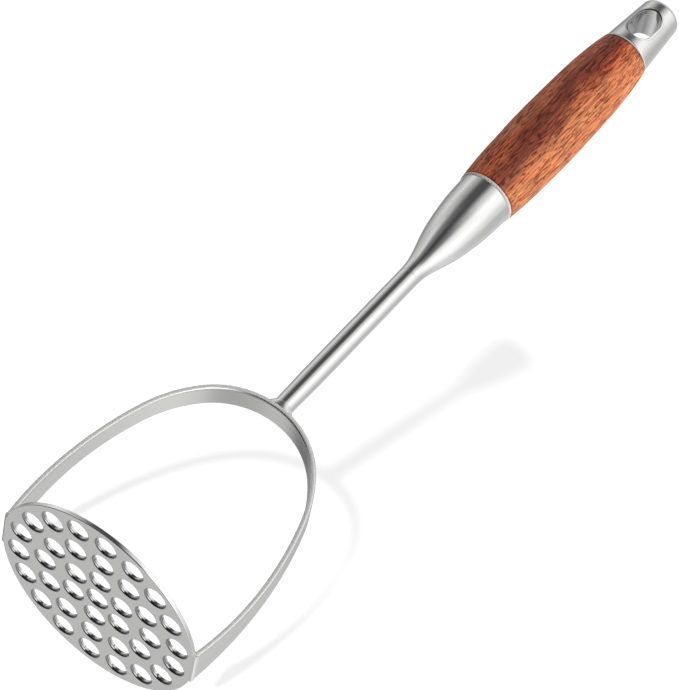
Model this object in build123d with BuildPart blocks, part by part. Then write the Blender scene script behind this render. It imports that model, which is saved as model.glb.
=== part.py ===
from build123d import *
import os
from math import asin, cos, degrees, radians, sin, sqrt

# Potato masher, standing on its mashing disc.
# Millimetres. The handle's axis is +Z, the disc's lower face is z = 0, and the yoke lies in the XZ plane.

os.makedirs("parts", exist_ok=True)

# Mashing disc: a punched plate with a short flat-ended tab on its rim at each foot of the yoke
disc_diameter = 82.0
disc_thickness = 1.6
foot_width = 16.6
foot_overhang = 0.3
hole_diameter = 8.5
hole_pitch = 11.33
hole_rings = 3
holes_per_ring_step = 6
hole_edge_bevel = 0.4
foot_edge_round = 1.2
rim_edge_bevel = 0.3

# Yoke: one flat strap bent into an arch of tangent arcs, flared towards both feet
strap_thickness = 2.0
strap_width = 10.2
strap_edge_bevel = 0.35
flare_height = 55.0
yoke_height = 98.4
crown_radius = 32.8
crown_angle = 40.0
shoulder_radius = 57.0
shoulder_angle = 17.7

# Welds at the feet of the yoke and at the foot of the shaft
foot_weld_leg = 1.4
collar_length = 17.0
collar_height = 2.6
collar_lip = 0.3
collar_embed = 0.5
collar_waist_share = 0.42
collar_rise_share = 0.55

# Shaft: a solid rod with a slimmer foot and a spigot at its top
rod_diameter = 8.0
rod_foot_diameter = 7.5
rod_foot_length = 6.0
rod_taper_length = 13.0
shaft_length = 74.6
spigot_diameter = 6.0
spigot_length = 10.0

# Ferrule: a hollow bell from the rod's diameter to the grip's
bell_length = 45.0
bell_mouth_diameter = 21.5
bell_wall = 1.2
bell_rim_bevel = 0.3
bell_mouth_lean_share = 0.03
bell_outline_shares = ((0.195, 0.18), (0.38, 0.53), (0.615, 0.82))
plug_thickness = 4.0
plug_ledge = 0.4
plug_spigot_diameter = 14.0
plug_spigot_length = 3.0
thread_blind_end = 1.5

# Wooden grip: a bored barrel between the ferrule and the end cap
grip_length = 85.0
grip_front_diameter = 22.2
grip_swell_diameter = 25.5
grip_back_diameter = 19.7
grip_swell_share = 0.41
grip_front_shares = ((0.088, 0.45), (0.266, 0.85))
grip_back_shares = ((0.565, 0.94), (0.776, 0.745), (0.9, 0.44))
grip_edge_bevel = 0.3
grip_bore_clearance = 0.3

# Tie rod that pulls the end cap towards the ferrule, through the grip
tie_rod_diameter = 6.0
tie_rod_tip = 1.0
thread_fit = 0.05

# End cap: a thin tapered cup, with a threaded insert in its mouth
cap_length = 24.4
cap_mouth_diameter = 19.2
cap_end_diameter = 15.2
cap_wall = 1.0
cap_end_round = 2.2
cap_rim_bevel = 0.25
insert_flange_thickness = 2.0
insert_boss_diameter = 12.0
insert_boss_length = 12.0
insert_bottom_gap = 0.8

# Hanging slot: an obround tube across the end cap
slot_length = 15.0
slot_width = 9.4
slot_wall = 0.8
slot_height = 11.0
slot_edge_bevel = 0.4

# Gap left between round surfaces that are pushed together, and the run of a cut past a face
push_fit = 0.03
overrun = 1.0

# Heights of the joints, from the disc up
foot_level = disc_thickness
rod_base = yoke_height
bell_base = rod_base + shaft_length
bell_top = bell_base + bell_length
grip_top = bell_top + grip_length
cap_top = grip_top + cap_length
slot_level = grip_top + slot_height

# Radii that several pieces share
disc_radius = disc_diameter / 2
foot_reach = disc_radius + foot_overhang
rod_radius = rod_diameter / 2
spigot_radius = spigot_diameter / 2
bell_mouth_radius = bell_mouth_diameter / 2
plug_radius = bell_mouth_radius - bell_wall
tie_rod_radius = tie_rod_diameter / 2
thread_radius = tie_rod_radius + thread_fit
cap_mouth_radius = cap_mouth_diameter / 2
cap_end_radius = cap_end_diameter / 2
insert_radius = cap_mouth_radius - cap_wall

# Arcs of the yoke's outer face: a crown over the axis, a shoulder and a long side arc down to the foot
crown_centre = Vector(0, yoke_height - crown_radius)
crown_normal = Vector(cos(radians(crown_angle)), sin(radians(crown_angle)))
shoulder_centre = crown_centre - crown_normal * (shoulder_radius - crown_radius)
shoulder_normal = Vector(cos(radians(shoulder_angle)), sin(radians(shoulder_angle)))
shoulder_end = shoulder_centre + shoulder_normal * shoulder_radius
side_chord = Vector(foot_reach, foot_level) - shoulder_end
side_radius = -side_chord.dot(side_chord) / (2 * side_chord.dot(shoulder_normal))
side_centre = shoulder_end - shoulder_normal * side_radius


def arch_foot(inset):
    """Point where the side arc, set in from the outer face, meets the disc's upper face."""
    radius = side_radius - inset
    drop = foot_level - side_centre.Y
    return (side_centre.X + sqrt(radius**2 - drop**2), foot_level)


def arch_line(inset):
    """Draw the whole arch, set in from the strap's outer face."""
    radius = side_radius - inset
    foot_angle = degrees(asin((foot_level - side_centre.Y) / radius))
    CenterArc(crown_centre, crown_radius - inset, crown_angle, 180 - 2 * crown_angle)
    shoulder = CenterArc(
        shoulder_centre, shoulder_radius - inset, shoulder_angle, crown_angle - shoulder_angle
    )
    side = CenterArc(side_centre, radius, foot_angle, shoulder_angle - foot_angle)
    mirror((shoulder, side), about=Plane.YZ)


def bell_point(height_share, radius_share, inset):
    """Point on the bell's outline, set in from its outer face."""
    radius = rod_radius + radius_share * (bell_mouth_radius - rod_radius)
    return (radius - inset, bell_base + height_share * bell_length)


def grip_point(height_share, end_radius, radius_share):
    """Point on the grip's outline, between the radius of one end and that of the swell."""
    radius = end_radius + radius_share * (grip_swell_diameter / 2 - end_radius)
    return (radius, bell_top + height_share * grip_length)


def cap_outline():
    """Draw half of the end cap's outer section, from the axis to the axis."""
    mouth = (cap_mouth_radius, grip_top)
    Polyline((0, grip_top), mouth, (cap_end_radius, cap_top), (0, cap_top), close=True)


# Mashing disc
with BuildPart() as mashing_disc:
    with BuildSketch():
        Circle(disc_radius)
    extrude(amount=disc_thickness)
    chamfer(mashing_disc.edges().filter_by(GeomType.CIRCLE), length=rim_edge_bevel)
    with BuildSketch():
        Rectangle(2 * foot_reach, foot_width)
    extrude(amount=disc_thickness)
    with BuildSketch(Plane.XZ) as foot_section:
        Rectangle(2 * foot_reach, 2 * disc_thickness, align=(Align.CENTER, Align.MIN))
        fillet(foot_section.vertices().group_by(Axis.Z)[0], radius=foot_edge_round)
    extrude(amount=disc_radius, both=True, mode=Mode.INTERSECT)
    with BuildSketch():
        Circle(hole_diameter / 2)
        for ring in range(1, hole_rings + 1):
            with PolarLocations(ring * hole_pitch, ring * holes_per_ring_step, start_angle=90):
                Circle(hole_diameter / 2)
    extrude(amount=disc_thickness, mode=Mode.SUBTRACT)
    lower_face = mashing_disc.faces().sort_by(Axis.Z)[0]
    chamfer(lower_face.inner_wires().edges(), length=hole_edge_bevel)

# Yoke strap
with BuildPart() as yoke_strap:
    with BuildSketch(Plane.XZ):
        with BuildLine():
            arch_line(0)
            arch_line(strap_thickness)
            foot_line = Line(arch_foot(0), arch_foot(strap_thickness))
            mirror(foot_line, about=Plane.YZ)
        make_face()
    extrude(amount=foot_width / 2, both=True)
    with BuildSketch(Plane.YZ):
        with BuildLine():
            flare_top = (strap_width / 2, foot_level + flare_height)
            flare_foot = (foot_width / 2, foot_level)
            TangentArc(flare_top, flare_foot, tangent=(0, -1))
            Polyline(flare_foot, (foot_width / 2, 0), (0, 0))
            Polyline(flare_top, (strap_width / 2, yoke_height + overrun), (0, yoke_height + overrun))
            mirror(about=Plane.YZ)
        make_face()
    extrude(amount=disc_diameter, both=True, mode=Mode.INTERSECT)
    long_edges = yoke_strap.edges().filter_by(lambda edge: edge.length > 2 * strap_thickness)
    chamfer(long_edges.filter_by(Axis.Y, reverse=True), length=strap_edge_bevel)

# Weld beads in the inner corners of the feet
inner_foot_reach = arch_foot(strap_thickness)[0]
with BuildPart() as right_foot_weld:
    with BuildSketch(Plane.XZ):
        with BuildLine():
            bead_toe = (inner_foot_reach - foot_weld_leg, foot_level)
            bead_root = (inner_foot_reach + strap_thickness / 2, foot_level)
            bead_top = (inner_foot_reach + strap_thickness / 2, foot_level + foot_weld_leg)
            bead_edge = (inner_foot_reach, foot_level + foot_weld_leg)
            Polyline(bead_toe, bead_root, bead_top, bead_edge)
            RadiusArc(bead_toe, bead_edge, foot_weld_leg)
        make_face()
    extrude(amount=foot_width / 2 - foot_weld_leg, both=True)
    add(yoke_strap.part, mode=Mode.SUBTRACT)

with BuildPart() as left_foot_weld:
    mirror(right_foot_weld.part, about=Plane.YZ)

# Weld collar that blends the rod's foot into the crown of the yoke
with BuildPart() as shaft_collar:
    collar_reach = collar_length / 2
    collar_drop = crown_radius - sqrt(crown_radius**2 - collar_reach**2)
    collar_breadth = strap_width / 2 - strap_edge_bevel
    rod_foot_radius = rod_foot_diameter / 2
    collar_top_radius = rod_foot_radius + push_fit + collar_lip
    waist_reach = collar_top_radius + collar_waist_share * (collar_reach - collar_top_radius)
    waist_breadth = collar_top_radius + collar_waist_share * (collar_breadth - collar_top_radius)
    collar_base = rod_base - collar_drop - collar_embed
    collar_peak = rod_base + collar_height
    waist_level = collar_base + collar_rise_share * (collar_peak - collar_base)
    with BuildSketch(Plane.XY.offset(collar_base)):
        Ellipse(collar_reach, collar_breadth)
    with BuildSketch(Plane.XY.offset(waist_level)):
        Ellipse(waist_reach, waist_breadth)
    with BuildSketch(Plane.XY.offset(collar_peak)):
        Ellipse(collar_top_radius, collar_top_radius)
    loft()
    with BuildSketch(Plane.XY.offset(collar_base - overrun)):
        Circle(rod_foot_radius + push_fit)
    extrude(until=Until.LAST, mode=Mode.SUBTRACT)
    add(yoke_strap.part, mode=Mode.SUBTRACT)

# Shaft rod, coped to the crown
with BuildPart() as shaft_rod:
    with BuildSketch(Plane.XZ):
        with BuildLine():
            Polyline(
                (0, rod_base - strap_thickness / 2),
                (rod_foot_diameter / 2, rod_base - strap_thickness / 2),
                (rod_foot_diameter / 2, rod_base + rod_foot_length),
                (rod_radius, rod_base + rod_foot_length + rod_taper_length),
                (rod_radius, bell_base),
                (spigot_radius, bell_base),
                (spigot_radius, bell_base + spigot_length),
                (0, bell_base + spigot_length),
                close=True,
            )
        make_face()
    revolve(axis=Axis.Z)
    add(yoke_strap.part, mode=Mode.SUBTRACT)

# Ferrule bell
bore_radius = spigot_radius + push_fit
plug_level = bell_top - plug_thickness
with BuildPart() as ferrule_bell:
    with BuildSketch(Plane.XZ):
        with BuildLine():
            outer_points = [bell_point(height, radius, 0) for height, radius in bell_outline_shares]
            rim = (bell_mouth_radius, bell_top)
            Spline((rod_radius, bell_base), *outer_points, rim, tangents=((0, 1), (bell_mouth_lean_share, 1)))
            Polyline(rim, (plug_radius, bell_top), (plug_radius, plug_level), (plug_radius - plug_ledge, plug_level))
            inner_points = [bell_point(height, radius, bell_wall) for height, radius in bell_outline_shares[1:]]
            cavity_foot = (bore_radius, bell_base + spigot_length)
            Spline(cavity_foot, *inner_points, (plug_radius - plug_ledge, plug_level))
            Polyline(cavity_foot, (bore_radius, bell_base), (rod_radius, bell_base))
        make_face()
    revolve(axis=Axis.Z)
    rim_edge = ferrule_bell.edges().filter_by(GeomType.CIRCLE).group_by(Axis.Z)[-1].sort_by(SortBy.RADIUS)[-1]
    chamfer(rim_edge, length=bell_rim_bevel)

# Plug welded into the ferrule's mouth, with a blind thread for the tie rod
with BuildPart() as ferrule_plug:
    with BuildSketch(Plane.XY.offset(plug_level)):
        Circle(plug_radius - push_fit)
    extrude(amount=plug_thickness)
    with BuildSketch(Plane.XY.offset(bell_top)):
        Circle(plug_spigot_diameter / 2)
    extrude(amount=plug_spigot_length)
    thread_bottom = plug_level + thread_blind_end
    with BuildSketch(Plane.XY.offset(thread_bottom)):
        Circle(thread_radius)
    extrude(amount=bell_top + plug_spigot_length - thread_bottom, mode=Mode.SUBTRACT)

# Tie rod, from the plug's thread to the insert's
insert_base = grip_top - insert_boss_length
tie_rod_top = grip_top + insert_flange_thickness - tie_rod_tip
with BuildPart() as tie_rod:
    with BuildSketch(Plane.XY.offset(thread_bottom)):
        Circle(tie_rod_radius)
    extrude(amount=tie_rod_top - thread_bottom)
    chamfer(tie_rod.edges().group_by(Axis.Z)[-1], length=tie_rod_tip / 2)

# Wooden grip
with BuildPart() as wood_grip:
    front_radius = grip_front_diameter / 2
    back_radius = grip_back_diameter / 2
    bore = tie_rod_radius + grip_bore_clearance
    front_recess = plug_spigot_diameter / 2 + grip_bore_clearance
    back_recess = insert_boss_diameter / 2 + grip_bore_clearance
    front_recess_top = bell_top + plug_spigot_length + grip_bore_clearance
    back_recess_base = insert_base - insert_bottom_gap
    with BuildSketch(Plane.XZ):
        with BuildLine():
            front_points = [grip_point(height, front_radius, share) for height, share in grip_front_shares]
            swell_point = grip_point(grip_swell_share, front_radius, 1)
            back_points = [grip_point(height, back_radius, share) for height, share in grip_back_shares]
            back_rim = (back_radius, grip_top)
            Spline((front_radius, bell_top), *front_points, swell_point, *back_points, back_rim)
            Polyline(
                back_rim,
                (back_recess, grip_top),
                (back_recess, back_recess_base),
                (bore, back_recess_base),
                (bore, front_recess_top),
                (front_recess, front_recess_top),
                (front_recess, bell_top),
                (front_radius, bell_top),
            )
        make_face()
    revolve(axis=Axis.Z)
    rim_edges = wood_grip.edges().filter_by(GeomType.CIRCLE)
    front_edge = rim_edges.group_by(Axis.Z)[0].sort_by(SortBy.RADIUS)[-1]
    back_edge = rim_edges.group_by(Axis.Z)[-1].sort_by(SortBy.RADIUS)[-1]
    chamfer((front_edge, back_edge), length=grip_edge_bevel)

# Threaded insert in the mouth of the end cap, with a boss that sits in the grip
with BuildPart() as cap_insert:
    with BuildSketch(Plane.XY.offset(insert_base)):
        Circle(insert_boss_diameter / 2)
    extrude(amount=insert_boss_length)
    with BuildSketch(Plane.XY.offset(grip_top)):
        Circle(insert_radius - push_fit)
    extrude(amount=insert_flange_thickness)
    with BuildSketch(Plane.XY.offset(insert_base)):
        Circle(thread_radius)
    extrude(amount=insert_boss_length + insert_flange_thickness, mode=Mode.SUBTRACT)

# End cap
cap_taper = (cap_mouth_radius - cap_end_radius) / cap_length
insert_seat_top = grip_top + insert_flange_thickness
with BuildPart() as end_cap:
    with BuildSketch(Plane.XZ):
        with BuildLine():
            cap_outline()
        make_face()
    revolve(axis=Axis.Z)
    chamfer(end_cap.edges().group_by(Axis.Z)[0], length=cap_rim_bevel)
    fillet(end_cap.edges().group_by(Axis.Z)[-1], radius=cap_end_round)
    with BuildSketch(Plane.XZ):
        with BuildLine():
            Polyline(
                (0, grip_top - overrun),
                (insert_radius, grip_top - overrun),
                (insert_radius, insert_seat_top),
                (insert_radius - cap_taper * insert_flange_thickness, insert_seat_top),
                (cap_end_radius + cap_taper * cap_wall - cap_wall, cap_top - cap_wall),
                (0, cap_top - cap_wall),
                close=True,
            )
        make_face()
    revolve(axis=Axis.Z, mode=Mode.SUBTRACT)
    with BuildSketch(Plane.XZ):
        with Locations((0, slot_level)):
            SlotOverall(slot_length + 2 * slot_wall, slot_width + 2 * slot_wall, rotation=90)
    extrude(amount=cap_mouth_diameter, both=True, mode=Mode.SUBTRACT)

# Hanging slot's sleeve, flush with the cap at both ends
with BuildPart() as slot_sleeve:
    with BuildSketch(Plane.XZ):
        with Locations((0, slot_level)):
            SlotOverall(slot_length + 2 * slot_wall, slot_width + 2 * slot_wall, rotation=90)
            SlotOverall(slot_length, slot_width, rotation=90, mode=Mode.SUBTRACT)
    extrude(amount=cap_mouth_diameter, both=True)
    with BuildSketch(Plane.XZ):
        with BuildLine():
            cap_outline()
        make_face()
    revolve(axis=Axis.Z, mode=Mode.INTERSECT)
    end_faces = slot_sleeve.faces().filter_by(GeomType.CONE)
    chamfer([edge for face in end_faces for edge in face.inner_wires().edges()], length=slot_edge_bevel)

pieces = {
    "mashing_disc": mashing_disc,
    "yoke_strap": yoke_strap,
    "left_foot_weld": left_foot_weld,
    "right_foot_weld": right_foot_weld,
    "shaft_collar": shaft_collar,
    "shaft_rod": shaft_rod,
    "ferrule_bell": ferrule_bell,
    "ferrule_plug": ferrule_plug,
    "tie_rod": tie_rod,
    "wood_grip": wood_grip,
    "cap_insert": cap_insert,
    "end_cap": end_cap,
    "slot_sleeve": slot_sleeve,
}
for name, piece in pieces.items():
    piece.part.label = name
    export_step(piece.part, f"parts/{name}.step")
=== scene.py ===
"""Looks of a potato masher: brushed steel disc, yoke and shaft, a turned wooden grip and a steel end cap.

Metres, in the part's own frame: the handle's axis is +Z, the disc's lower face is z = 0, the yoke lies in XZ.
"""

import logging
import math
from dataclasses import dataclass
from enum import Enum
from typing import Any

import bmesh
import bpy
from bpy.types import Material, Node, NodeTree, Object
from bpy.types import NodeSocket as Socket
from mathutils import Matrix, Vector


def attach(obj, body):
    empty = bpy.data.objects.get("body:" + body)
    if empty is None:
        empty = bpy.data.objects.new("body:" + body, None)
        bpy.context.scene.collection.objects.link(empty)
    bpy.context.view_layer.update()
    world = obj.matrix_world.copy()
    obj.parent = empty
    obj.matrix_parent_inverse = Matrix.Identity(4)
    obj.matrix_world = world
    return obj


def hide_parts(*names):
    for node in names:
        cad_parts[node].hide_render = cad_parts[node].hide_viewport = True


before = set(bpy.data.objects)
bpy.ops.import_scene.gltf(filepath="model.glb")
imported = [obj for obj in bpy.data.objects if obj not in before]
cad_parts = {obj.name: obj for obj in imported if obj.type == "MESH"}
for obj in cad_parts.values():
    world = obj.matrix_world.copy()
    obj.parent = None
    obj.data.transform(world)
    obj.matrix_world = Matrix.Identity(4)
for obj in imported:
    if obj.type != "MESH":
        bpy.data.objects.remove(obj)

Point2 = tuple[float, float]
Point3 = tuple[float, float, float]
Stops = tuple[Point2, ...]
Colour = tuple[float, float, float]
Colour4 = tuple[float, float, float, float]

MM = 0.001
ROOT = "root"
PICTURE_WIDTH, PICTURE_HEIGHT = 679, 690

# Sizes that the disc and the yoke share
DISC_RADIUS = 41.0 * MM
DISC_THICKNESS = 1.6 * MM
FOOT_WIDTH = 16.6 * MM
FOOT_OVERHANG = 0.3 * MM
FOOT_REACH = DISC_RADIUS + FOOT_OVERHANG

# Bend in radians above which an edge stays sharp, and the least number that anything is divided by
SHARP_BEND = 0.9
LEAST = 1e-9

log = logging.getLogger("masher")


class Brushing(Enum):
    """Direction of the brush lines on a steel piece, as a stretch of its coordinates."""

    LENGTHWISE = (1.0, 1.0, 0.012)
    ALONG_STRAP = (0.02, 1.0, 0.02)
    AROUND = (0.05, 0.05, 1.0)
    NONE = (1.0, 1.0, 1.0)


def opaque(colour: Colour, share: float = 1.0) -> Colour4:
    """Give a share of a colour, no brighter than white, as a colour socket takes it."""
    return (*(min(1.0, share * part) for part in colour), 1.0)


def grey(light: float) -> Colour4:
    """Give a grey of any brightness, as a colour socket takes it."""
    return (light, light, light, 1.0)


class Graph:
    """Adds and links the nodes of one node tree."""

    def __init__(self, tree: NodeTree) -> None:
        """Keep the shader or geometry tree that the nodes go into."""
        self.tree = tree

    def fill(self, socket: Socket, value: Any) -> None:
        """Link a socket to another one, or give it a plain value.

        Args:
            socket: the input socket.
            value: the socket that feeds it, or its value.
        """
        if isinstance(value, Socket):
            self.tree.links.new(value, socket)
        else:
            socket.default_value = value

    def node(self, kind: str, inputs: dict | None = None, **settings: Any) -> Node:
        """Add a node.

        Args:
            kind: Blender's name of the node's type.
            inputs: socket name or number to a value or to the socket that feeds it.
            **settings: the node's own properties.

        Returns:
            The new node.
        """
        made = self.tree.nodes.new(kind)
        for name, value in settings.items():
            setattr(made, name, value)
        for key, value in (inputs or {}).items():
            self.fill(made.inputs[key], value)
        return made

    def first(self, kind: str, inputs: dict | None = None, **settings: Any) -> Socket:
        """Add a node, as node does, and return its first output."""
        return self.node(kind, inputs, **settings).outputs[0]

    def axes(self, vector: Socket) -> Any:
        """Split a vector and return its X, Y and Z."""
        return self.node("ShaderNodeSeparateXYZ", {0: vector}).outputs

    def math(self, operation: str, a: Any, b: Any = 0.0, c: Any = 0.0) -> Socket:
        """Add a Math node and return its result."""
        return self.first("ShaderNodeMath", {0: a, 1: b, 2: c}, operation=operation)

    def remap(self, value: Any, low: float, high: float, to_low: float = 0.0, to_high: float = 1.0) -> Socket:
        """Map a value from one range to another, smoothly and clamped."""
        sockets = {"Value": value, "From Min": low, "From Max": high, "To Min": to_low, "To Max": to_high}
        return self.first("ShaderNodeMapRange", sockets, interpolation_type="SMOOTHSTEP")

    def blend(self, share: Any, first: Any, second: Any, how: str = "MIX") -> Socket:
        """Mix two colours.

        Args:
            share: share of the second colour.
            first: the first colour.
            second: the second colour.
            how: the way of mixing.

        Returns:
            The mixed colour.
        """
        mixer = self.node("ShaderNodeMix", data_type="RGBA", blend_type=how)
        for socket, value in zip((mixer.inputs[0], mixer.inputs[6], mixer.inputs[7]), (share, first, second)):
            self.fill(socket, value)
        return mixer.outputs[2]


def new_group(name: str, kind: str, takes: dict[str, str], gives: dict[str, str]) -> tuple[Graph, dict, dict]:
    """Make an empty node group with named sockets.

    Args:
        name: the group's name.
        kind: ShaderNodeTree or GeometryNodeTree.
        takes: input name to kind of socket, such as Float.
        gives: output name to kind of socket.

    Returns:
        The group's graph, its input sockets and its output sockets, by name.
    """
    tree = bpy.data.node_groups.new(name, kind)
    for side, sockets in (("INPUT", takes), ("OUTPUT", gives)):
        for label, socket in sockets.items():
            tree.interface.new_socket(label, in_out=side, socket_type="NodeSocket" + socket)
    graph = Graph(tree)
    entry = graph.node("NodeGroupInput").outputs
    leave = graph.node("NodeGroupOutput").inputs
    return graph, {label: entry[label] for label in takes}, {label: leave[label] for label in gives}


def new_material(name: str) -> tuple[Material, Graph]:
    """Make a material with its default nodes.

    Args:
        name: the material's name.

    Returns:
        The material, and the graph that adds to its nodes.
    """
    material = bpy.data.materials.new(name)
    material.use_nodes = True
    return material, Graph(material.node_tree)


def brush_lines_group() -> NodeTree:
    """Build the group for brushed steel: fine lines, and slow patches of wear.

    Returns:
        A shader group that gives a shade, a roughness and a height.
    """
    fine_detail, coarse_detail = 3.0, 2.0
    coarse_size, fine_share, coarse_share = 0.17, 0.4, 0.6
    middle, roughness_share = 0.5, 0.35
    takes = {"Coordinates": "Vector", "Fineness": "Float", "Roughness": "Float", "Contrast": "Float"}
    gives = {"Shade": "Float", "Roughness": "Float", "Height": "Float"}
    graph, given, result = new_group("brush_lines", "ShaderNodeTree", takes, gives)
    place, fineness = given["Coordinates"], given["Fineness"]
    sockets = {"Vector": place, "Scale": fineness, "Detail": fine_detail}
    fine = graph.first("ShaderNodeTexNoise", sockets)
    coarse_scale = graph.math("MULTIPLY", fineness, coarse_size)
    sockets = {"Vector": place, "Scale": coarse_scale, "Detail": coarse_detail}
    coarse = graph.first("ShaderNodeTexNoise", sockets)
    lines = graph.math("MULTIPLY_ADD", coarse, coarse_share, graph.math("MULTIPLY", fine, fine_share))
    spread = graph.math("MULTIPLY", graph.math("SUBTRACT", lines, middle), given["Contrast"])
    graph.fill(result["Shade"], graph.math("ADD", spread, middle))
    graph.fill(result["Roughness"], graph.math("MULTIPLY_ADD", spread, roughness_share, given["Roughness"]))
    graph.fill(result["Height"], lines)
    return graph.tree


def soft_edge_group() -> NodeTree:
    """Build the group for handled edges: a rounded normal and a mask of the edge.

    Returns:
        A shader group that gives a normal and a mask.
    """
    samples, agreement_flat, agreement_at_edge = 6, 0.99, 0.85
    gives = {"Normal": "Vector", "Edge": "Float"}
    graph, given, result = new_group("soft_edge", "ShaderNodeTree", {"Radius": "Float"}, gives)
    rounded = graph.first("ShaderNodeBevel", {"Radius": given["Radius"]}, samples=samples)
    straight = graph.node("ShaderNodeNewGeometry").outputs["Normal"]
    product = graph.node("ShaderNodeVectorMath", {0: rounded, 1: straight}, operation="DOT_PRODUCT")
    graph.fill(result["Normal"], rounded)
    graph.fill(result["Edge"], graph.remap(product.outputs["Value"], agreement_flat, agreement_at_edge))
    return graph.tree


@dataclass(frozen=True)
class SteelFinish:
    """One steel finish: brush lines, handled edges and a painted shade fading between two places along X.

    Without contrast it is the same all over.
    """

    name: str
    tint: Colour = (0.78, 0.78, 0.775)
    roughness: float = 0.24
    contrast: float = 0.5
    fineness: float = 900.0
    brushing: Brushing = Brushing.LENGTHWISE
    edge_radius: float = 0.25 * MM
    # Span along X over which the colour fades into painted shade, or none
    painted_shade: Point2 | None = None
    dark_share: float = 0.82
    light_share: float = 1.12
    painted_shade_share: float = 0.30
    edge_light: float = 0.5
    edge_polish: float = 0.06
    relief: float = 0.02
    relief_depth: float = 0.1 * MM

    def build(self, lines: NodeTree, edges: NodeTree) -> Material:
        """Make the material.

        Args:
            lines: the brush line group.
            edges: the handled edge group.

        Returns:
            The finished material.
        """
        material, graph = new_material(self.name)
        surface = graph.tree.nodes["Principled BSDF"]
        surface.inputs["Metallic"].default_value = 1.0
        if not self.contrast:
            surface.inputs["Base Color"].default_value = opaque(self.tint)
            surface.inputs["Roughness"].default_value = self.roughness
            return material
        place = graph.node("ShaderNodeTexCoord").outputs["Object"]
        stretch = graph.first("ShaderNodeMapping", {"Vector": place, "Scale": self.brushing.value})
        sockets = {"Coordinates": stretch, "Fineness": self.fineness}
        sockets |= {"Roughness": self.roughness, "Contrast": self.contrast}
        brushed = graph.node("ShaderNodeGroup", sockets, node_tree=lines)
        dark, light = opaque(self.tint, self.dark_share), opaque(self.tint, self.light_share)
        body = graph.blend(brushed.outputs["Shade"], dark, light)
        # Painted shade: darker towards one end of a span along X, standing in for the dark reflections on the
        # slot's wall
        if self.painted_shade:
            across = graph.axes(place)["X"]
            painted_shade_colour = opaque(self.tint, self.painted_shade_share)
            body = graph.blend(graph.remap(across, *self.painted_shade), painted_shade_colour, body)
        relief = graph.node("ShaderNodeBump", {"Strength": self.relief, "Distance": self.relief_depth})
        graph.fill(relief.inputs["Height"], brushed.outputs["Height"])
        roughness = brushed.outputs["Roughness"]
        if self.edge_radius:
            edge = graph.node("ShaderNodeGroup", {"Radius": self.edge_radius}, node_tree=edges).outputs
            body = graph.blend(graph.math("MULTIPLY", edge["Edge"], self.edge_light), body, light)
            roughness = graph.math("MULTIPLY_ADD", edge["Edge"], -self.edge_polish, roughness)
            graph.fill(relief.inputs["Normal"], edge["Normal"])
        graph.fill(surface.inputs["Base Color"], body)
        graph.fill(surface.inputs["Roughness"], roughness)
        graph.fill(surface.inputs["Normal"], relief.outputs[0])
        return material


@dataclass(frozen=True)
class Streaks:
    """Noise that is drawn out along the grain."""

    scale: float
    along: float
    detail: float
    distortion: float

    def build(self, graph: Graph, place: Socket) -> Socket:
        """Add the noise.

        Args:
            graph: the material's graph.
            place: the piece's own coordinates.

        Returns:
            The noise's value.
        """
        stretch = {"Vector": place, "Scale": (1.0, 1.0, self.along)}
        drawn = graph.first("ShaderNodeMapping", stretch)
        sockets = {"Vector": drawn, "Scale": self.scale, "Detail": self.detail, "Distortion": self.distortion}
        return graph.first("ShaderNodeTexNoise", sockets)


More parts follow.
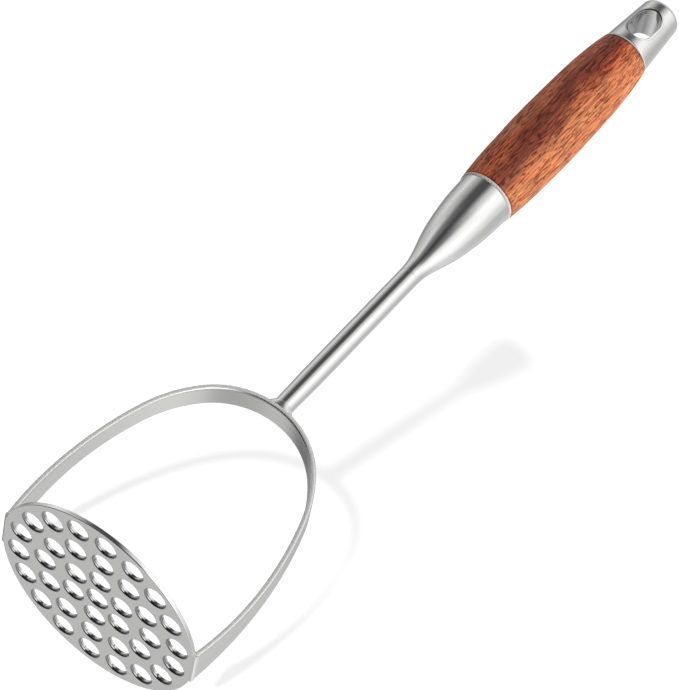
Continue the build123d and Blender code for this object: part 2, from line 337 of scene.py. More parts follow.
@dataclass(frozen=True)
class WoodFinish:
    """Turned reddish-brown hardwood with open pores along the grain and a satin lacquer.

    A streak of dark heartwood winds up the grip, and its side towards +X is painted golden, as if lit.
    Each end has a band of painted shade at its joint and a thin painted highlight at its very edge.
    """

    name: str = "grip_hardwood"
    warm: Colour = (0.84, 0.175, 0.062)
    golden: Colour = (0.92, 0.35, 0.135)
    heart: Colour = (0.270, 0.050, 0.038)
    pore: Colour = (0.300, 0.150, 0.130)
    pale: Colour = (0.95, 0.90, 0.87)
    heart_azimuth: float = -1.38
    heart_level: float = 0.225
    heart_turn: float = -7.5
    heart_fade: Point2 = (0.10, 0.58)
    heart_depth: float = 0.80
    wander: Streaks = Streaks(95.0, 0.4, 4.0, 0.6)
    wander_reach: float = 1.1
    # Painted light: over this span the side towards +X turns more golden, as if lit, by this share
    painted_light_fade: Point2 = (1.0 * MM, 9.0 * MM)
    painted_light_share: float = 0.45
    figure: Streaks = Streaks(420.0, 0.06, 4.0, 0.5)
    figure_range: Point2 = (0.34, 0.66)
    figure_share: float = 0.55
    fibre: Streaks = Streaks(1700.0, 0.05, 2.0, 0.8)
    fibre_range: Point2 = (0.38, 0.62)
    fibre_light: Point2 = (0.74, 1.30)
    pores: Streaks = Streaks(1150.0, 0.12, 2.0, 1.6)
    pore_range: Point2 = (0.41, 0.49)
    pore_depth: float = 0.85
    pore_roughness: float = 0.2
    pore_drop: float = 0.8
    ends: Point2 = (0.218, 0.303)
    # Where the painted shade at each joint and the painted highlight at each edge lie, inside both ends
    joint_shade_fade: Point2 = (1.6 * MM, 1.1 * MM)
    joint_shade_depth: float = 0.75
    end_highlight_fade: Point2 = (0.8 * MM, 0.7 * MM)
    roughness: float = 0.48
    relief: float = 0.35
    relief_depth: float = 0.12 * MM
    specular: float = 0.28
    coat: float = 0.08
    coat_roughness: float = 0.3

    def heartwood(self, graph: Graph, place: Socket, axes: Any) -> Socket:
        """Give the share of heartwood.

        Args:
            graph: the material's graph.
            place: the piece's own coordinates.
            axes: the same, axis by axis.

        Returns:
            The share.
        """
        azimuth = graph.math("ARCTAN2", axes["Y"], axes["X"])
        rise = graph.math("SUBTRACT", axes["Z"], self.heart_level)
        middle = graph.math("MULTIPLY_ADD", rise, self.heart_turn, self.heart_azimuth)
        noise = graph.math("SUBTRACT", self.wander.build(graph, place), 0.5)
        wander = graph.math("MULTIPLY", noise, self.wander_reach)
        aside = graph.math("ABSOLUTE", graph.math("ADD", graph.math("SUBTRACT", azimuth, middle), wander))
        return graph.math("MULTIPLY", graph.remap(aside, *self.heart_fade, 1.0, 0.0), self.heart_depth)

    def with_ends(self, graph: Graph, height: Socket, body: Socket) -> Socket:
        """Add the painted shade at each joint and the painted highlight at each edge to the wood's colour.

        Args:
            graph: the material's graph.
            height: place along the grip.
            body: the wood's colour.

        Returns:
            The colour with both ends.
        """
        centre, half = sum(self.ends) / 2, (self.ends[1] - self.ends[0]) / 2
        from_centre = graph.math("ABSOLUTE", graph.math("SUBTRACT", height, centre))
        # Painted shade: a dark band just inside each end stands in for the shade in the gap where wood meets
        # steel
        joint_shade = graph.remap(from_centre, *(half - inset for inset in self.joint_shade_fade), 0.0, self.joint_shade_depth)
        joint_shaded = graph.blend(joint_shade, body, opaque(self.pore), "MULTIPLY")
        # Painted highlight: a thin near-white band at the very ends stands in for light caught by a bevelled
        # mouth
        end_highlight = graph.remap(from_centre, *(half - inset for inset in self.end_highlight_fade))
        return graph.blend(end_highlight, joint_shaded, opaque(self.pale))

    def build(self) -> Material:
        """Make the material.

        Returns:
            The finished material.
        """
        material, graph = new_material(self.name)
        surface = graph.tree.nodes["Principled BSDF"]
        place = graph.node("ShaderNodeTexCoord").outputs["Object"]
        axes = graph.axes(place)
        heart = self.heartwood(graph, place, axes)
        # Painted light: lighter and more golden towards +X, the side where the light falls
        painted_light = graph.remap(axes["X"], *self.painted_light_fade, 0.0, self.painted_light_share)
        figure = graph.remap(self.figure.build(graph, place), *self.figure_range, 0.0, self.figure_share)
        base = graph.blend(graph.math("ADD", figure, painted_light), opaque(self.warm), opaque(self.golden))
        hearted = graph.blend(heart, base, opaque(self.heart))
        fibre = self.fibre.build(graph, place)
        fibre_shade = graph.remap(fibre, *self.fibre_range, *self.fibre_light)
        lined = graph.blend(1.0, hearted, fibre_shade, "MULTIPLY")
        pores = graph.remap(self.pores.build(graph, place), *self.pore_range, 1.0, 0.0)
        pore_share = graph.math("MULTIPLY", pores, self.pore_depth)
        grained = graph.blend(pore_share, lined, opaque(self.pore), "MULTIPLY")
        graph.fill(surface.inputs["Base Color"], self.with_ends(graph, axes["Z"], grained))
        roughness = graph.math("MULTIPLY_ADD", pores, self.pore_roughness, self.roughness)
        graph.fill(surface.inputs["Roughness"], roughness)
        height = graph.math("MULTIPLY_ADD", pores, -self.pore_drop, fibre)
        sockets = {"Strength": self.relief, "Distance": self.relief_depth, "Height": height}
        graph.fill(surface.inputs["Normal"], graph.first("ShaderNodeBump", sockets))
        surface.inputs["Specular IOR Level"].default_value = self.specular
        surface.inputs["Coat Weight"].default_value = self.coat
        surface.inputs["Coat Roughness"].default_value = self.coat_roughness
        return material


@dataclass(frozen=True)
class Finishes:
    """Every material of the object, built once."""

    disc: Material
    rim: Material
    lip: Material
    bore: Material
    strap: Material
    strap_edge: Material
    weld: Material
    shaft: Material
    cap: Material
    slot_wall: Material
    inner: Material
    wood: Material

    @classmethod
    def build(cls) -> "Finishes":
        """Build the shared groups, then each finish from them.

        Returns:
            The finishes.
        """
        lines, edges = brush_lines_group(), soft_edge_group()
        plain, along, around = Brushing.NONE, Brushing.ALONG_STRAP, Brushing.AROUND
        # Painted shade on the slot's wall, from x = -4.8 mm to -0.5 mm
        painted_shade = (-4.8 * MM, -0.5 * MM)
        steels = {
            "disc": SteelFinish("disc_satin_steel", (0.76, 0.76, 0.755), 0.32, 1.2, 2000.0, plain, 0.0),
            "rim": SteelFinish("rim_polished_steel", (0.86, 0.86, 0.855), 0.10, contrast=0.0),
            # Painted shade: the hole lips get a steel darkened to 0.38, standing in for the dark reflections
            # at the holes' edges
            "lip": SteelFinish("lip_steel_painted_shade", (0.38, 0.38, 0.38), 0.06, contrast=0.0),
            "bore": SteelFinish("bore_satin_steel", (0.68, 0.68, 0.675), 0.13, contrast=0.0),
            "strap": SteelFinish("strap_satin_steel", (0.72, 0.72, 0.715), 0.26, 0.5, 1100.0, along, 0.0),
            "strap_edge": SteelFinish("strap_edge_steel", (0.97, 0.97, 0.965), 0.75, contrast=0.0),
            "weld": SteelFinish("weld_polished_steel", (0.92, 0.92, 0.915), 0.22, 0.3, 900.0, plain),
            "shaft": SteelFinish("shaft_brushed_steel", (0.80, 0.80, 0.795), 0.18, 0.35, 1400.0),
            "cap": SteelFinish("cap_satin_steel", (0.76, 0.76, 0.755), 0.27, 0.4, 1400.0, around),
            "slot_wall": SteelFinish("slot_polished_steel", (0.84, 0.84, 0.835), 0.08, 0.2, painted_shade=painted_shade),
            "inner": SteelFinish("inner_turned_steel", (0.55, 0.55, 0.55), 0.45, 0.4, 900.0, around),
        }
        made = {name: finish.build(lines, edges) for name, finish in steels.items()}
        return cls(wood=WoodFinish().build(), **made)


def dress(node: str, material: Material) -> None:
    """Give a CAD node one material all over, and report it.

    Args:
        node: the node's name.
        material: its finish.
    """
    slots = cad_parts[node].data.materials
    slots.clear()
    slots.append(material)
    log.info("dressed %s with %s", node, material.name)


def arc_points(centre: Point2, radius: float, start: float, end: float, steps: int) -> list[Point2]:
    """Give the points of an arc in a plane, both ends included.

    Args:
        centre: the arc's centre.
        radius: its radius.
        start: angle of its first point, in degrees.
        end: angle of its last point, in degrees.
        steps: number of equal steps.

    Returns:
        The points in order.
    """
    turns = [math.radians(start + (end - start) * step / steps) for step in range(steps + 1)]
    return [(centre[0] + radius * math.cos(turn), centre[1] + radius * math.sin(turn)) for turn in turns]


def even_turns(count: int) -> list[float]:
    """Give so many directions, spaced evenly round a circle, in radians."""
    return [math.tau * step / count for step in range(count)]


def fall_back(height: float, turn: float) -> float:
    """Give how far a quarter round stands back at a height above the face that it starts from."""
    return turn - math.sqrt(max(0.0, turn**2 - max(0.0, turn - height) ** 2))


def scene_object(name: str, mesh: bmesh.types.BMesh) -> Object:
    """Turn a bmesh into an object of the scene.

    Args:
        name: the object's name.
        mesh: its shape, which is freed.

    Returns:
        The new object, at the origin.
    """
    data = bpy.data.meshes.new(name)
    mesh.to_mesh(data)
    mesh.free()
    made = bpy.data.objects.new(name, data)
    bpy.context.scene.collection.objects.link(made)
    return made


def band(name: str, rings: list[list[Point3]]) -> Object:
    """Join closed rings of points, all of the same count, with a skin that is open at both ends.

    Args:
        name: the object's name.
        rings: the rings, in order.

    Returns:
        The open skin.
    """
    mesh = bmesh.new()
    corners = [[mesh.verts.new(point) for point in ring] for ring in rings]
    for lower, upper in zip(corners, corners[1:]):
        for step in range(len(lower)):
            after = (step + 1) % len(lower)
            mesh.faces.new((lower[step], lower[after], upper[after], upper[step]))
    bmesh.ops.recalc_face_normals(mesh, faces=mesh.faces)
    return scene_object(name, mesh)


def bake_geometry(carrier: Object, tree: NodeTree, values: dict[str, Any]) -> None:
    """Run a geometry tree once on an object and keep its result as the object's plain mesh.

    Args:
        carrier: the object whose mesh the tree takes, and which is left with no modifier.
        tree: the geometry tree.
        values: value of each named input of the tree.
    """
    modifier = carrier.modifiers.new("build", "NODES")
    modifier.node_group = tree
    inputs = (item for item in tree.interface.items_tree if item.in_out == "INPUT")
    identifiers = {item.name: item.identifier for item in inputs}
    for label, value in values.items():
        modifier[identifiers[label]] = value
    weights = carrier.modifiers.new("weights", "WEIGHTED_NORMAL")
    weights.keep_sharp = True
    bpy.context.view_layer.update()
    evaluated = carrier.evaluated_get(bpy.context.evaluated_depsgraph_get())
    solid = bpy.data.meshes.new_from_object(evaluated)
    carrier.modifiers.clear()
    carrier.data = solid


def stand_for(piece: Object, slot: str, *nodes: str) -> None:
    """Let a finished piece ride on the root body in place of its CAD nodes, and report it.

    Args:
        piece: the piece.
        slot: not used.
        *nodes: the CAD nodes that it stands for.
    """
    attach(piece, ROOT)
    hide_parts(*nodes)
    log.info("%s replaces %s, %d faces", piece.name, ", ".join(nodes), len(piece.data.polygons))


def joined(graph: Graph, *parts: Socket) -> Socket:
    """Join several geometries into one.

    Args:
        graph: the tree's graph.
        *parts: the geometries.

    Returns:
        The joined geometry.
    """
    node = graph.node("GeometryNodeJoinGeometry")
    for part in parts:
        graph.tree.links.new(part, node.inputs[0])
    return node.outputs[0]


def realized(graph: Graph, parts: Socket) -> Socket:
    """Turn instances into real geometry."""
    return graph.first("GeometryNodeRealizeInstances", {"Geometry": parts})


def painted(graph: Graph, mesh: Socket, material: Socket, chosen: Any = True) -> Socket:
    """Give a finish to the chosen faces of a mesh, or to all of them."""
    sockets = {"Geometry": mesh, "Selection": chosen, "Material": material}
    return graph.first("GeometryNodeSetMaterial", sockets)


def smooth_but_sharp(graph: Graph, mesh: Socket) -> Socket:
    """Shade a mesh smooth, except over its sharp edges.

    Args:
        graph: the tree's graph.
        mesh: the mesh.

    Returns:
        The shaded mesh.
    """
    sockets = {"Geometry": mesh, "Shade Smooth": True}
    smooth = graph.first("GeometryNodeSetShadeSmooth", sockets, domain="FACE")
    bend = graph.node("GeometryNodeInputMeshEdgeAngle").outputs["Unsigned Angle"]
    sharp = graph.math("GREATER_THAN", bend, SHARP_BEND)
    sockets = {"Geometry": smooth, "Selection": sharp, "Shade Smooth": False}
    return graph.first("GeometryNodeSetShadeSmooth", sockets, domain="EDGE")


@dataclass
class MashingDisc:
    """Punched plate with rings of holes, and a short flat-ended tab on its rim at each foot of the yoke.

    A tilt is the size of a face's normal along an axis, and tells apart the faces for each finish.
    """

    finishes: Finishes
    radius: float = DISC_RADIUS
    thickness: float = DISC_THICKNESS
    foot_width: float = FOOT_WIDTH
    foot_reach: float = FOOT_REACH
    foot_round: float = 1.2 * MM
    rim_round: float = 0.3 * MM
    hole_radius: float = 4.05 * MM
    hole_round: float = 0.85 * MM
    back_round: float = 0.12 * MM
    flat_margin: float = 0.05 * MM
    pitch: float = 11.33 * MM
    rings: int = 3
    ring_step: int = 6
    round_steps: int = 5
    rim_steps: int = 264
    hole_steps: int = 64
    merge_distance: float = 0.004 * MM
    face_tilt: float = 0.97
    bore_tilt: float = 0.1
    side_tilt: float = 0.7

    def reach(self, turn: float, height: float) -> float:
        """Give the distance from the axis to the plate's rim.

        Args:
            turn: direction, in radians from the X axis.
            height: height above the plate's lower face.

        Returns:
            The rim's distance, with its roundings and the tabs at the feet.
        """
        across, along = max(abs(math.sin(turn)), LEAST), max(abs(math.cos(turn)), LEAST)
        edge = min(height, self.thickness - height)
        circle = self.radius - fall_back(edge, self.rim_round)
        tab = min(self.foot_width / 2 / across, self.foot_reach / along)
        flat = (self.foot_reach - fall_back(height, self.foot_round)) / along
        return min(max(circle, tab if along > across else 0.0), flat)

    def rim(self) -> Object:
        """Build the skin of the rim, with a narrow flat margin on each face.

        Returns:
            The open skin.
        """
        half_width = self.foot_width / 2
        turns = even_turns(self.rim_steps)
        for turn in (math.atan2(half_width, self.foot_reach), math.asin(half_width / self.radius)):
            turns += [turn, math.pi - turn, math.pi + turn, math.tau - turn]
        steps = range(self.round_steps + 1)
        quarter = [1 - math.cos(math.pi / 2 * step / self.round_steps) for step in steps]
        low = [self.rim_round * share for share in quarter]
        high = [self.thickness - height for height in low]
        heights = sorted({*low, *high, *(self.foot_round * share for share in quarter)})
        levels = [(height, 0.0) for height in heights]
        levels = [(0.0, self.flat_margin), *levels, (self.thickness, self.flat_margin)]
        rings = []
        for height, margin in levels:
            ends = [(turn, self.reach(turn, height) - margin) for turn in sorted(turns)]
            rings.append([(reach * math.cos(turn), reach * math.sin(turn), height) for turn, reach in ends])
        return band("rim_skin", rings)

    def hole_wall(self) -> Object:
        """Build the skin of one hole, rounded towards both faces, with a narrow flat margin on each.

        Returns:
            The open skin.
        """
        radius, low, high, margin = self.hole_radius, self.hole_round, self.back_round, self.flat_margin
        entry = arc_points((radius + low, low), low, 270, 180, self.round_steps)
        leave = arc_points((radius + high, self.thickness - high), high, 180, 90, self.round_steps)
        outline = [(entry[0][0] + margin, 0.0), *entry, (radius, low + margin)]
        outline += [(radius, self.thickness - high - margin), *leave, (leave[-1][0] + margin, self.thickness)]
        ways = [(math.cos(turn), math.sin(turn)) for turn in even_turns(self.hole_steps)]
        rings = [[(reach * x, reach * y, height) for x, y in ways] for reach, height in outline]
        return band("hole_skin", rings)

    def tree(self) -> NodeTree:
        """Build the tree that sets out the holes, closes both faces round them and finishes the plate.

        Returns:
            The geometry tree.
        """
        takes = {
            "Rim": "Geometry", "Hole Wall": "Object", "Thickness": "Float", "Pitch": "Float",
            "Rings": "Int", "Holes Per Ring Step": "Int", "Rim Starts": "Float",
            "Face Finish": "Material", "Lip Painted Shade": "Material", "Bore Finish": "Material",
            "Rim Finish": "Material", "Tab Finish": "Material",
        }
        graph, given, result = new_group("punched_plate", "GeometryNodeTree", takes, {"Disc": "Geometry"})
        plate = realized(graph, smooth_but_sharp(graph, self.closed_plate(graph, given)))
        graph.fill(result["Disc"], self.finished(graph, given, plate))
        return graph.tree

    def closed_plate(self, graph: Graph, given: dict) -> Socket:
        """Put the hole walls in their places and fill both faces.

        Args:
            graph: the tree's graph.
            given: the tree's input sockets.

        Returns:
            The closed plate.
        """
        spots = self.hole_spots(graph, given)
        wall = graph.node("GeometryNodeObjectInfo", {"Object": given["Hole Wall"]}).outputs["Geometry"]
        walls = graph.first("GeometryNodeInstanceOnPoints", {"Points": spots, "Instance": wall})
        skin = joined(graph, given["Rim"], realized(graph, walls))
        place = graph.first("GeometryNodeInputPosition")
        height = graph.axes(place)["Z"]
        middle = graph.math("MULTIPLY", given["Thickness"], 0.5)
        faces_at_edge = graph.first("GeometryNodeInputMeshEdgeNeighbors")
        open_edge = graph.math("LESS_THAN", faces_at_edge, 1.5)
        lower_side = graph.math("LESS_THAN", height, middle)
        upper_side = graph.math("SUBTRACT", 1.0, lower_side)
        lower = self.face(graph, skin, graph.math("MULTIPLY", open_edge, lower_side))
        upper = self.face(graph, skin, graph.math("MULTIPLY", open_edge, upper_side))
        below = graph.first("GeometryNodeFlipFaces", {"Mesh": lower})
        lift = graph.first("ShaderNodeCombineXYZ", {"Z": given["Thickness"]})
        above = graph.first("GeometryNodeTransform", {"Geometry": upper, "Translation": lift})
        sockets = {"Geometry": joined(graph, skin, below, above), "Distance": self.merge_distance}
        return graph.first("GeometryNodeMergeByDistance", sockets)

    def finished(self, graph: Graph, given: dict, plate: Socket) -> Socket:
        """Give the plate its finishes: faces, hole lips, hole walls, rim and the sides of the tabs.

        Args:
            graph: the tree's graph.
            given: the tree's input sockets.
            plate: the closed plate.

        Returns:
            The finished plate.
        """
        place = graph.first("GeometryNodeInputPosition")
        normal = graph.first("GeometryNodeInputNormal")
        facing = graph.axes(normal)
        tilt = graph.math("ABSOLUTE", facing["Z"])
        steep = graph.math("LESS_THAN", tilt, self.face_tilt)
        upright = graph.math("LESS_THAN", tilt, self.bore_tilt)
        distance = graph.node("ShaderNodeVectorMath", {0: place}, operation="LENGTH").outputs["Value"]
        outer = graph.math("MULTIPLY", steep, graph.math("GREATER_THAN", distance, given["Rim Starts"]))
        spread = graph.math("ABSOLUTE", graph.axes(place)["X"])
        sideways = graph.math("GREATER_THAN", graph.math("ABSOLUTE", facing["Y"]), self.side_tilt)
        tab_side = graph.math("MULTIPLY", sideways, graph.math("GREATER_THAN", spread, given["Rim Starts"]))
        plate = painted(graph, plate, given["Face Finish"])
        # The lips take the darkened steel: painted shade
        coats = {"Lip Painted Shade": steep, "Bore Finish": upright, "Rim Finish": outer, "Tab Finish": tab_side}
        for finish, chosen in coats.items():
            plate = painted(graph, plate, given[finish], chosen)
        return plate

    def face(self, graph: Graph, skin: Socket, chosen: Socket) -> Socket:
        """Fill the flat face, in the plane z = 0, inside the chosen open edges of the skin."""
        outlines = graph.first("GeometryNodeMeshToCurve", {"Mesh": skin, "Selection": chosen})
        return graph.first("GeometryNodeFillCurve", {"Curve": outlines}, mode="TRIANGLES")

    def hole_spots(self, graph: Graph, given: dict) -> Socket:
        """Give a point for each hole: one in the middle, then ring by ring in a repeat zone.

        Args:
            graph: the tree's graph.
            given: the tree's input sockets.

        Returns:
            The points.
        """
        start = graph.node("GeometryNodeRepeatInput")
        finish = graph.node("GeometryNodeRepeatOutput")
        start.pair_with_output(finish)
        graph.fill(start.inputs["Iterations"], given["Rings"])
        graph.fill(start.inputs["Geometry"], graph.first("GeometryNodePoints", {"Count": 1}))
        ring = graph.math("ADD", start.outputs["Iteration"], 1.0)
        radius = graph.math("MULTIPLY", ring, given["Pitch"])
        count = graph.math("MULTIPLY", ring, given["Holes Per Ring Step"])
        circle = graph.first("GeometryNodeMeshCircle", {"Vertices": count, "Radius": radius})
        sockets = {"Geometry": circle, "Rotation": (0.0, 0.0, math.pi / 2)}
        turned = graph.first("GeometryNodeTransform", sockets)
        spots = graph.first("GeometryNodeMeshToPoints", {"Mesh": turned})
        graph.fill(finish.inputs["Geometry"], joined(graph, spots, start.outputs["Geometry"]))
        return finish.outputs["Geometry"]

    def build(self) -> None:
        """Build the punched plate in place of its CAD node."""
        wall, plate = self.hole_wall(), self.rim()
        values = {
            "Hole Wall": wall,
            "Thickness": self.thickness,
            "Pitch": self.pitch,
            "Rings": self.rings,
            "Holes Per Ring Step": self.ring_step,
            "Rim Starts": self.radius - self.foot_round,
            "Face Finish": self.finishes.disc,
            "Lip Painted Shade": self.finishes.lip,
            "Bore Finish": self.finishes.bore,
            "Rim Finish": self.finishes.rim,
            "Tab Finish": self.finishes.strap_edge,
        }
        bake_geometry(plate, self.tree(), values)
        plate.name = "punched_mashing_plate"
        bpy.data.objects.remove(wall)
        stand_for(plate, "disc_steel", "mashing_disc")


@dataclass
class Yoke:
    """Flat strap bent into an arch of tangent arcs and flared towards both feet, with its welds."""

    finishes: Finishes
    thickness: float = 2.0 * MM
    width: float = 10.2 * MM
    foot_width: float = FOOT_WIDTH
    flare_height: float = 55.0 * MM
    edge_round: float = 0.95 * MM
    foot_level: float = DISC_THICKNESS
    foot_reach: float = FOOT_REACH
    height: float = 98.4 * MM
    crown_radius: float = 32.8 * MM
    crown_angle: float = 40.0
    shoulder_radius: float = 57.0 * MM
    shoulder_angle: float = 17.7
    foot_trim: float = 0.6 * MM
    step: float = 1.0 * MM
    fewest_steps: int = 4
    round_steps: int = 8
    side_tilt: float = 0.8

    def half_arch(self) -> list[Point2]:
        """Give the strap's middle line on the right, from the crown's top to just below the foot's level.

        Returns:
            The points in the XZ plane.
        """
        inset = self.thickness / 2

        def lean(angle: float) -> Vector:
            """Give the direction at an angle above the X axis."""
            return Vector((math.cos(math.radians(angle)), math.sin(math.radians(angle))))

        crown = Vector((0.0, self.height - self.crown_radius))
        shoulder = crown - lean(self.crown_angle) * (self.shoulder_radius - self.crown_radius)
        joint = shoulder + lean(self.shoulder_angle) * self.shoulder_radius
        chord = Vector((self.foot_reach, self.foot_level)) - joint
        side_radius = -chord.length_squared / (2 * chord.dot(lean(self.shoulder_angle)))
        side = joint - lean(self.shoulder_angle) * side_radius
        foot_rise = self.foot_level - side.y - self.foot_trim
        foot_angle = math.degrees(math.asin(foot_rise / (side_radius - inset)))
        arcs = (
            (crown, self.crown_radius, 90.0, self.crown_angle),
            (shoulder, self.shoulder_radius, self.crown_angle, self.shoulder_angle),
            (side, side_radius, self.shoulder_angle, foot_angle),
        )
        line: list[Point2] = []
        for centre, radius, start, end in arcs:
            steps = max(self.fewest_steps, round(math.radians(start - end) * radius / self.step))
            line += arc_points(tuple(centre), radius - inset, start, end, steps)[bool(line):]
        return line

    def path(self) -> Object:
        """Draw the whole arch as a run of edges, from the left foot to the right one.

        Returns:
            The object that becomes the strap.
        """
        right = self.half_arch()
        whole = [(-x, z) for x, z in reversed(right[1:])] + right
        mesh = bmesh.new()
        corners = [mesh.verts.new((x, 0.0, z)) for x, z in whole]
        for first, second in zip(corners, corners[1:]):
            mesh.edges.new((first, second))
        return scene_object("yoke_path", mesh)

    def tree(self) -> NodeTree:
        """Build the tree that sweeps the strap's section along the arch, flares its feet and finishes it.

        Returns:
            The geometry tree.
        """
        takes = {
            "Path": "Geometry", "Thickness": "Float", "Width": "Float", "Foot Width": "Float",
            "Flare Height": "Float", "Foot Level": "Float", "Edge Round": "Float",
            "Finish": "Material", "Edge Finish": "Material",
        }
        graph, given, result = new_group("bent_strap", "GeometryNodeTree", takes, {"Strap": "Geometry"})
        flared = self.flared(graph, given, self.bar(graph, given))
        strap = painted(graph, realized(graph, smooth_but_sharp(graph, flared)), given["Finish"])
        normal = graph.first("GeometryNodeInputNormal")
        sideways = graph.math("ABSOLUTE", graph.axes(normal)["Y"])
        edge = graph.math("GREATER_THAN", sideways, self.side_tilt)
        graph.fill(result["Strap"], painted(graph, strap, given["Edge Finish"], edge))
        return graph.tree

    def bar(self, graph: Graph, given: dict) -> Socket:
        """Sweep the strap's rounded section along the arch, of one width all along.

        Args:
            graph: the tree's graph.
            given: the tree's input sockets.

        Returns:
            The bar, closed at both feet.
        """
        curve = graph.first("GeometryNodeMeshToCurve", {"Mesh": given["Path"]})
        sockets = {"Curve": curve, "Normal": (0.0, 1.0, 0.0)}
        upright = graph.first("GeometryNodeSetCurveNormal", sockets, mode="FREE")
        sockets = {"Width": given["Width"], "Height": given["Thickness"]}
        section = graph.first("GeometryNodeCurvePrimitiveQuadrilateral", sockets)
        sockets = {"Curve": section, "Radius": given["Edge Round"], "Count": self.round_steps}
        rounded = graph.first("GeometryNodeFilletCurve", sockets, mode="POLY")
        sockets = {"Curve": upright, "Profile Curve": rounded, "Fill Caps": True}
        return graph.first("GeometryNodeCurveToMesh", sockets)

    def flared(self, graph: Graph, given: dict, bar: Socket) -> Socket:
        """Widen the bar towards its feet by an arc, and trim both feet flat at the disc.

        Args:
            graph: the tree's graph.
            given: the tree's input sockets.
            bar: the bar of one width.

        Returns:
            The flared strap.
        """
        position = graph.first("GeometryNodeInputPosition")
        place = graph.axes(position)
        rise = graph.math("MULTIPLY", graph.math("SUBTRACT", given["Foot Width"], given["Width"]), 0.5)
        height_squared = graph.math("POWER", given["Flare Height"], 2.0)
        squares = graph.math("ADD", height_squared, graph.math("POWER", rise, 2.0))
        radius = graph.math("DIVIDE", squares, graph.math("MULTIPLY", rise, 2.0))
        top = graph.math("ADD", given["Foot Level"], given["Flare Height"])
        drop = graph.math("MAXIMUM", graph.math("SUBTRACT", top, place["Z"]), 0.0)
        level = graph.math("SUBTRACT", graph.math("POWER", radius, 2.0), graph.math("POWER", drop, 2.0))
        spread = graph.math("SUBTRACT", radius, graph.math("SQRT", level))
        across = graph.math("MULTIPLY_ADD", graph.math("SIGN", place["Y"]), spread, place["Y"])
        settled = graph.math("MAXIMUM", place["Z"], given["Foot Level"])
        target = graph.first("ShaderNodeCombineXYZ", {"X": place["X"], "Y": across, "Z": settled})
        return graph.first("GeometryNodeSetPosition", {"Geometry": bar, "Position": target})

    def build(self) -> None:
        """Build the strap in place of its CAD node, and dress the welds."""
        strap = self.path()
        values = {
            "Thickness": self.thickness,
            "Width": self.width,
            "Foot Width": self.foot_width,
            "Flare Height": self.flare_height,
            "Foot Level": self.foot_level,
            "Edge Round": self.edge_round,
            "Finish": self.finishes.strap,
            "Edge Finish": self.finishes.strap_edge,
        }
        bake_geometry(strap, self.tree(), values)
        strap.name = "bent_yoke_strap"
        stand_for(strap, "strap_steel", "yoke_strap")
        for weld in ("left_foot_weld", "right_foot_weld", "shaft_collar"):
            dress(weld, self.finishes.weld)


@dataclass
class Handle:
    """Rod, ferrule and wooden grip, on the tie rod that holds them together."""

    finishes: Finishes

    def build(self) -> None:
        """Dress the handle's CAD nodes."""
        dress("shaft_rod", self.finishes.shaft)
        dress("ferrule_bell", self.finishes.shaft)
        dress("wood_grip", self.finishes.wood)
        for hidden in ("ferrule_plug", "tie_rod", "cap_insert"):
            dress(hidden, self.finishes.inner)


@dataclass
class HangingCap:
    """End cap with the sleeve of its hanging slot."""

    finishes: Finishes

    def build(self) -> None:
        """Dress the cap's CAD nodes."""
        dress("end_cap", self.finishes.cap)
        dress("slot_sleeve", self.finishes.slot_wall)


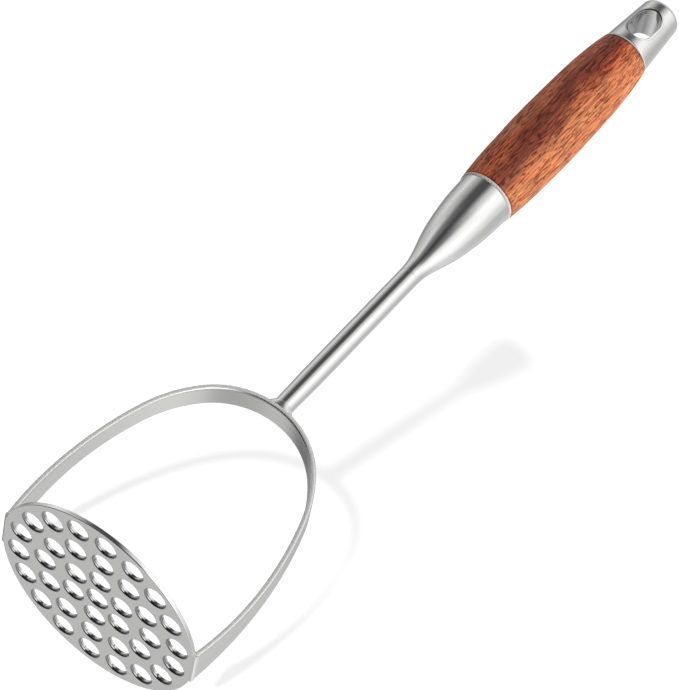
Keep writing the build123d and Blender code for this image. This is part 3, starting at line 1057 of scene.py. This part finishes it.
@dataclass
class Studio:
    """White surroundings with bands of light and shade, a pale floor, a pale backdrop and the camera.

    A band's stops are angles round the object, from the camera's side, each with its brightness. A pair of
    starts holds the heights, in degrees above the horizon, between which one band passes into the next.
    """

    camera_place: Point3 = (0.42778, -1.45383, -0.70970)
    camera_right: Point3 = (0.78488, -0.12136, 0.60765)
    camera_up: Point3 = (-0.56825, -0.53198, 0.62777)
    camera_back: Point3 = (0.24707, -0.83802, -0.48650)
    focal_pixels: float = 5000.0
    sensor: float = 36.0
    view_depth: float = 20.0
    camera_side: float = -73.66
    low_band: Stops = (
        (-180, 0.68), (-158, 0.60), (-135, 0.04), (8, 0.02), (26, 2.40),
        (50, 2.00), (80, 0.60), (105, 0.60), (130, 0.45), (160, 0.55),
    )
    level_band: Stops = (
        (-180, 0.72), (-173, 0.68), (-168, 0.14), (-162, 0.14), (-157, 0.62), (-145, 0.35),
        (-96, 0.60), (-72, 0.85), (-48, 0.22), (-24, 0.05), (0, 0.18), (24, 1.05),
        (48, 1.40), (72, 1.20), (96, 0.85), (133, 0.92), (150, 0.62),
    )
    high_band: Stops = (
        (-180, 0.12), (-165, 0.45), (-144, 0.28), (-120, 0.55), (-96, 0.85), (-72, 0.45),
        (-48, 0.08), (-24, 0.08), (0, 0.80), (24, 1.32), (48, 1.20), (72, 0.86),
        (96, 0.58), (120, 0.60), (140, 0.72), (155, 0.66), (168, 0.45),
    )
    zenith: float = 0.65
    nadir: float = 0.03
    level_starts: Point2 = (-30.0, -2.0)
    high_starts: Point2 = (6.0, 26.0)
    zenith_starts: Point2 = (50.0, 75.0)
    nadir_starts: Point2 = (-46.0, -70.0)
    sheet_grey: float = 0.25
    floor_gap: float = 0.1 * MM
    floor_half: Point2 = (1.6, 1.6)
    floor_glow: float = 0.85
    backdrop_place: Point3 = (-0.0591, 0.3257, 0.3042)
    backdrop_facing: Point3 = (0.1451, -0.7114, 0.6876)
    backdrop_half: Point2 = (0.5, 0.8)
    backdrop_glow: float = 0.71
    lamp_run: Point3 = (-0.1431, 0.8792, 0.4544)
    lamp_energy: float = 8.4
    lamp_angle: float = 1.3
    casters: tuple[str, ...] = ("bent_yoke_strap", "shaft_collar", "shaft_rod", "ferrule_bell")

    def band(self, graph: Graph, turn: Socket, stops: Stops) -> Socket:
        """Add one band of light round the object.

        Args:
            graph: the world's graph.
            turn: share of a turn, with the camera's side at its middle.
            stops: angle from the camera's side and brightness of each stop.

        Returns:
            The band's colour.
        """
        ramp = graph.node("ShaderNodeValToRGB", {"Fac": turn})
        ramp.color_ramp.interpolation = "EASE"
        elements = ramp.color_ramp.elements
        whole = [*stops, (180.0, stops[0][1])]
        for element, (angle, light) in zip(elements, (whole[0], whole[-1])):
            element.position, element.color = angle / 360 + 0.5, grey(light)
        for angle, light in whole[1:-1]:
            elements.new(angle / 360 + 0.5).color = grey(light)
        return ramp.outputs["Color"]

    def surroundings(self) -> None:
        """Build the world: white behind the object, and bands of light and shade for its steel to reflect."""
        world = bpy.data.worlds.new("white_tent")
        bpy.context.scene.world = world
        world.use_nodes = True
        graph = Graph(world.node_tree)
        place = graph.node("ShaderNodeTexCoord").outputs["Generated"]
        x, y, z = graph.axes(place)
        azimuth = graph.math("ARCTAN2", y, x)
        turn = graph.math("MULTIPLY_ADD", azimuth, 1 / math.tau, 0.5 - self.camera_side / 360)
        share = graph.math("FRACT", turn)
        height = graph.math("DEGREES", graph.math("ARCSINE", z))
        bands = (self.low_band, self.level_band, self.high_band)
        low, level, high = (self.band(graph, share, stops) for stops in bands)
        lower = graph.blend(graph.remap(height, *self.level_starts), low, level)
        upper = graph.blend(graph.remap(height, *self.high_starts), lower, high)
        capped = graph.blend(graph.remap(height, *self.zenith_starts), upper, grey(self.zenith))
        tent = graph.blend(graph.remap(height, *self.nadir_starts), capped, grey(self.nadir))
        seen = graph.node("ShaderNodeLightPath").outputs["Is Camera Ray"]
        graph.fill(graph.tree.nodes["Background"].inputs["Color"], graph.blend(seen, tent, grey(1.0)))

    def pale_finish(self, name: str, glow: float) -> Material:
        """Make a white finish that shows shadows and is clear from behind.

        Args:
            name: the material's name.
            glow: light of its own, which keeps the shadows faint.

        Returns:
            The material.
        """
        material, graph = new_material(name)
        graph.tree.nodes.remove(graph.tree.nodes["Principled BSDF"])
        matt = graph.first("ShaderNodeBsdfDiffuse", {"Color": grey(self.sheet_grey)})
        light = graph.first("ShaderNodeEmission", {"Color": grey(1.0), "Strength": glow})
        lit = graph.first("ShaderNodeAddShader", {0: matt, 1: light})
        clear = graph.first("ShaderNodeBsdfTransparent")
        behind = graph.node("ShaderNodeNewGeometry").outputs["Backfacing"]
        front = graph.first("ShaderNodeMixShader", {0: behind, 1: lit, 2: clear})
        graph.fill(graph.tree.nodes["Material Output"].inputs["Surface"], front)
        return material

    def sheet(self, name: str, centre: Point3, facing: Point3, half: Point2, glow: float) -> Object:
        """Set up one flat pale surface that only the camera sees.

        Args:
            name: the object's name.
            centre: its middle.
            facing: direction of its white face.
            half: half its width and half its length.
            glow: see pale_finish.

        Returns:
            The surface.
        """
        turn = Vector(facing).to_track_quat("Z", "Y").to_matrix().to_4x4()
        place = Matrix.Translation(centre) @ turn @ Matrix.Diagonal((*half, 1.0, 1.0))
        mesh = bmesh.new()
        bmesh.ops.create_grid(mesh, x_segments=1, y_segments=1, size=1.0, matrix=place)
        made = scene_object(name, mesh)
        made.data.materials.append(self.pale_finish(name + "_white", glow))
        made.visible_glossy = made.visible_diffuse = made.visible_shadow = made.visible_transmission = False
        return made

    def lamp(self, backdrop: Object) -> None:
        """Hang the soft lamp that throws the handle's shadow.

        Args:
            backdrop: the surface that it lights.
        """
        data = bpy.data.lights.new("shadow_lamp", "SUN")
        data.energy, data.angle = self.lamp_energy, math.radians(self.lamp_angle)
        made = bpy.data.objects.new("shadow_lamp", data)
        made.rotation_euler = Vector(self.lamp_run).to_track_quat("-Z", "Y").to_euler()
        lit = bpy.data.collections.new("lit_by_shadow_lamp")
        lit.objects.link(backdrop)
        made.light_linking.receiver_collection = lit
        casters = bpy.data.collections.new("casting_shadow")
        for name in self.casters:
            casters.objects.link(bpy.data.objects[name])
        made.light_linking.blocker_collection = casters
        bpy.context.scene.collection.objects.link(made)

    def camera(self) -> None:
        """Set up the camera at the picture's view."""
        data = bpy.data.cameras.new("camera")
        data.sensor_width, data.sensor_fit = self.sensor, "AUTO"
        data.lens = self.sensor * self.focal_pixels / max(PICTURE_WIDTH, PICTURE_HEIGHT)
        data.clip_end = self.view_depth
        axes = Matrix((self.camera_right, self.camera_up, self.camera_back)).transposed().to_4x4()
        made = bpy.data.objects.new("camera", data)
        made.matrix_world = Matrix.Translation(self.camera_place) @ axes
        bpy.context.scene.collection.objects.link(made)
        bpy.context.scene.camera = made

    def build(self) -> None:
        """Set up everything round the object."""
        self.surroundings()
        self.sheet("floor", (0.0, 0.0, -self.floor_gap), (0.0, 0.0, 1.0), self.floor_half, self.floor_glow)
        place, facing, half = self.backdrop_place, self.backdrop_facing, self.backdrop_half
        self.lamp(self.sheet("backdrop", place, facing, half, self.backdrop_glow))
        self.camera()
        bpy.context.scene.view_settings.view_transform = "Standard"
        log.info("studio ready")


def main() -> None:
    """Build the looks in order, from the disc up, then the studio."""
    logging.basicConfig(level=logging.INFO, format="%(name)s: %(message)s")
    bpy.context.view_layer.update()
    finishes = Finishes.build()
    MashingDisc(finishes).build()
    Yoke(finishes).build()
    Handle(finishes).build()
    HangingCap(finishes).build()
    Studio().build()


if __name__ == "__main__":
    main()
